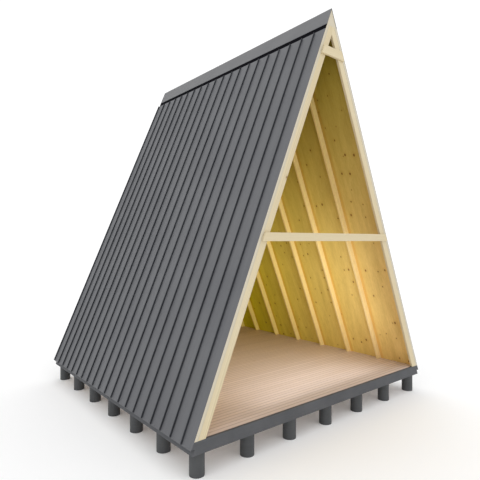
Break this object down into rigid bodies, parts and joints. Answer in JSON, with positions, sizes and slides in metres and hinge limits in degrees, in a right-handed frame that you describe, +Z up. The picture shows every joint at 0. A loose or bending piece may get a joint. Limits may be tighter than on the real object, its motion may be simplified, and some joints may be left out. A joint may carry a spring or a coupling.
{
  "type": "a-frame cabin",
  "caption": "A-frame cabin shell, open at the front, on round piers, with steep standing-seam roof sides, cream timber frames, a board floor and a dark rim.",
  "frame": {"origin": "middle of the footprint at ground level, under the feet of the piers", "axes": "+X across the front to the right as seen from the open front, +Y along the ridge from front to back, +Z up"},
  "size_m": [6.496, 6.395, 8.0112],
  "materials": {
    "pier_paint": "dark grey paint, matt",
    "joist_timber": "sawn softwood",
    "rim_paint": "dark grey paint, matt",
    "deck_wood": "pale pinkish boards, matt",
    "frame_timber": "planed cream softwood",
    "sheathing_wood": "golden boards with small knots, matt",
    "roof_board_wood": "pale board edges, matt",
    "roof_metal": "dark grey coated steel, satin",
    "seam_metal": "dark grey coated steel, satin",
    "cap_metal": "dark grey coated steel, satin",
    "vent_black": "black vent strip"
  },
  "bodies": {
    "root": {"piers": "pier_paint", "floor_joists": "joist_timber", "front_rim": "rim_paint", "back_rim": "rim_paint", "left_rim": "rim_paint", "right_rim": "rim_paint", "floor_deck": "deck_wood", "left_rafter_1": "frame_timber", "left_rafter_2": "frame_timber", "left_rafter_3": "frame_timber", "left_rafter_4": "frame_timber", "left_rafter_5": "frame_timber", "left_rafter_6": "frame_timber", "left_rafter_7": "frame_timber", "left_rafter_8": "frame_timber", "right_rafter_1": "frame_timber", "right_rafter_2": "frame_timber", "right_rafter_3": "frame_timber", "right_rafter_4": "frame_timber", "right_rafter_5": "frame_timber", "right_rafter_6": "frame_timber", "right_rafter_7": "frame_timber", "right_rafter_8": "frame_timber", "front_collar": "frame_timber", "front_gusset": "frame_timber", "back_studs": "frame_timber", "ridge_block": "frame_timber", "back_sheathing": "sheathing_wood", "back_sheet": "roof_metal", "back_seams": "seam_metal", "left_sheathing": "sheathing_wood", "left_roof_board": "roof_board_wood", "left_roof_sheet": "roof_metal", "left_seams": "seam_metal", "right_sheathing": "sheathing_wood", "right_roof_board": "roof_board_wood", "right_roof_sheet": "roof_metal", "right_seams": "seam_metal", "ridge_cap": "cap_metal", "ridge_vent": "vent_black"}
  },
  "joints": []
}
